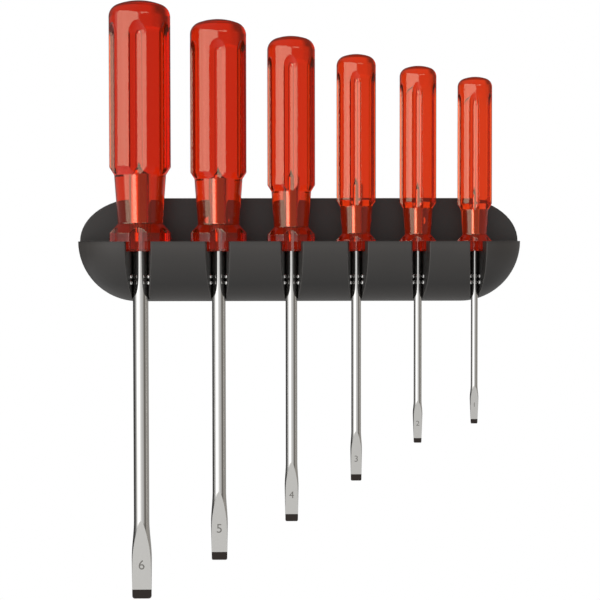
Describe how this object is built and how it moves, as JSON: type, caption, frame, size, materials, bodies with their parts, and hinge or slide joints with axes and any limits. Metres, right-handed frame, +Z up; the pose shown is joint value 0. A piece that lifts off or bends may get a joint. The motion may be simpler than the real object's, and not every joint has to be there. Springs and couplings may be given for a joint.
{
  "type": "screwdriver set with holder",
  "caption": "Black plastic wall rack with a ledge of round seats and open slots, holding a graded row of slotted screwdrivers with fluted translucent handles and chrome blades.",
  "frame": {"origin": "on the wall side of the rack's plate, halfway along the rack and level with its ledge", "axes": "+Z up along the blades, +Y into the wall, +X along the rack towards the smallest driver"},
  "size_m": [0.23, 0.0381, 0.3087],
  "materials": {
    "rack_plastic": "satin black moulded plastic",
    "handle_plastic": "polished translucent orange-red plastic",
    "blade_steel": "polished chrome plate, blackened at the very tip"
  },
  "bodies": {
    "root": {"rack": "rack_plastic", "handle_6": "handle_plastic", "handle_5": "handle_plastic", "handle_4": "handle_plastic", "handle_3": "handle_plastic", "handle_2": "handle_plastic", "handle_1": "handle_plastic", "blade_6": "blade_steel", "blade_5": "blade_steel", "blade_4": "blade_steel", "blade_3": "blade_steel", "blade_2": "blade_steel", "blade_1": "blade_steel"}
  },
  "joints": []
}
